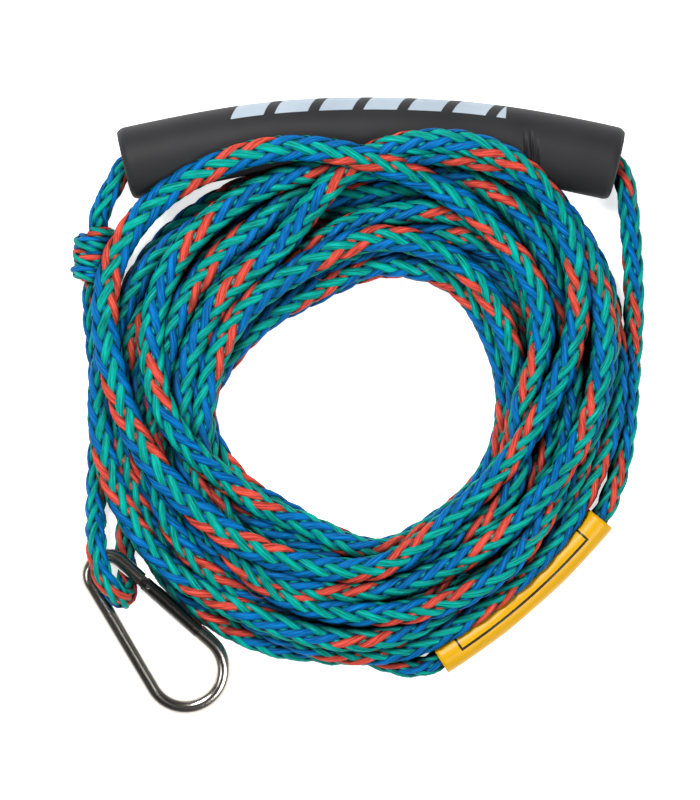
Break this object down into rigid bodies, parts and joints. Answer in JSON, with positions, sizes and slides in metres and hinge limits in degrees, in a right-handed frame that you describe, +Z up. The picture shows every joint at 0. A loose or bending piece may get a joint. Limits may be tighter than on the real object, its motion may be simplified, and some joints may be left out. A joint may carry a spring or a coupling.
{
  "type": "tow rope handle",
  "caption": "Bowed foam hand grip on a thick braided tow rope wound into a loose round coil, with a snap hook on one side and a sleeve and a barrel knot on the rope.",
  "frame": {"origin": "under the middle of the grip, on the surface that everything lies on", "axes": "+X along the grip towards the sleeve's side, +Y away from the coil, +Z up"},
  "size_m": [0.3054, 0.3284, 0.048],
  "materials": {
    "foam": "matte",
    "core": "satin",
    "bush": "satin",
    "rope": "satin",
    "sleeve": "gloss",
    "steel": "polished",
    "spring_steel": "satin"
  },
  "bodies": {
    "handle": {"grip_foam": "foam", "grip_core_tube": "core", "grip_bush_left": "bush", "grip_bush_right": "bush", "rope_in_grip": "rope", "rope_left_leg": "rope", "barrel_knot": "rope", "rope_left_side": "rope", "rope_coil": "rope", "rope_lead_in": "rope", "rope_in_sleeve": "rope", "rope_right_leg": "rope", "warning_sleeve": "sleeve"},
    "hook": {"hook_frame": "steel", "gate_hinge_pin": "steel"},
    "gate": {"hook_gate": "steel", "gate_latch_pin": "steel", "gate_spring": "spring_steel"},
    "plunger": {"gate_plunger": "spring_steel"}
  },
  "joints": [
    {"name": "hook_swing", "type": "hinge", "parent": "handle", "child": "hook", "pos_m": [-0.1345, -0.2386, 0.0168], "axis": [0, 0, 1], "range_deg": [-30, 0]},
    {"name": "gate_hinge", "type": "hinge", "parent": "hook", "child": "gate", "pos_m": [-0.11851, -0.23353, 0.01412], "axis": [0.0924, -0.1141, 0.9892], "range_deg": [-28, 0], "stiffness_Nm_per_rad": 0.06, "springref_deg": 28.65},
    {"name": "plunger_slide", "type": "slide", "parent": "gate", "child": "plunger", "axis": [0.7322, -0.6655, -0.1452], "range_m": [0, 0.0014], "deforming": ["gate_spring"]}
  ],
  "couplings": [
    {"joint": "plunger_slide", "follows": "gate_hinge", "m_per_rad": -0.002483}
  ]
}
